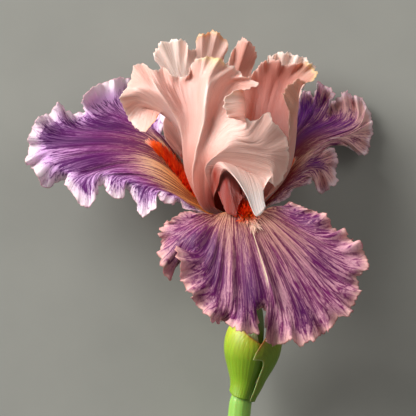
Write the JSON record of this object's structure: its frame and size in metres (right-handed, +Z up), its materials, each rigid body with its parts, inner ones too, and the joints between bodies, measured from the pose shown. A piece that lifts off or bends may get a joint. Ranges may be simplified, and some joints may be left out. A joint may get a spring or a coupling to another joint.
{
  "type": "bearded iris flower",
  "caption": "Bearded iris bloom with ruffled salmon standards, purple veined falls, orange beards and a cut green stem, lying on its back.",
  "frame": {"origin": "middle of the lower face of the part's bounding box, on the surface that the flower lies on", "axes": "+Y from the cut end of the stem to the top of the bloom, +Z up from the surface, +X to the right as the camera looks down on the flower's front"},
  "size_m": [0.1442, 0.2264, 0.072],
  "materials": {
    "stem": "smooth fresh green stalk with fine lengthwise streaks and a thin waxy bloom",
    "ovary": "smooth green ovary that runs up into a paler perianth tube",
    "spathe": "leathery yellow-green bract with parallel ribs and a papery brown edge",
    "inner_bract": "thin papery pale bract",
    "fall": "velvety purple petal with darker radiating veins, a tan haft and a pale ruffled edge",
    "standard": "thin translucent salmon-pink petal with fine veins and a frilled edge",
    "beard": "dense brush of red-orange hairs",
    "style_arm": "thick petal-like dusky salmon strap with a pale crest",
    "stamen": "pale filament with a cream anther"
  },
  "bodies": {
    "root": {"stem": "stem", "ovary_tube": "ovary", "spathe_left": "spathe", "spathe_right": "spathe", "inner_bract": "inner_bract", "fall_front": "fall", "fall_left": "fall", "fall_right": "fall", "standard_front": "standard", "standard_right": "standard", "standard_back": "standard", "beard_front": "beard", "beard_left": "beard", "beard_right": "beard", "style_arm_front": "style_arm", "style_arm_left": "style_arm", "style_arm_right": "style_arm", "stamen_front": "stamen", "stamen_left": "stamen", "stamen_right": "stamen"}
  },
  "joints": []
}
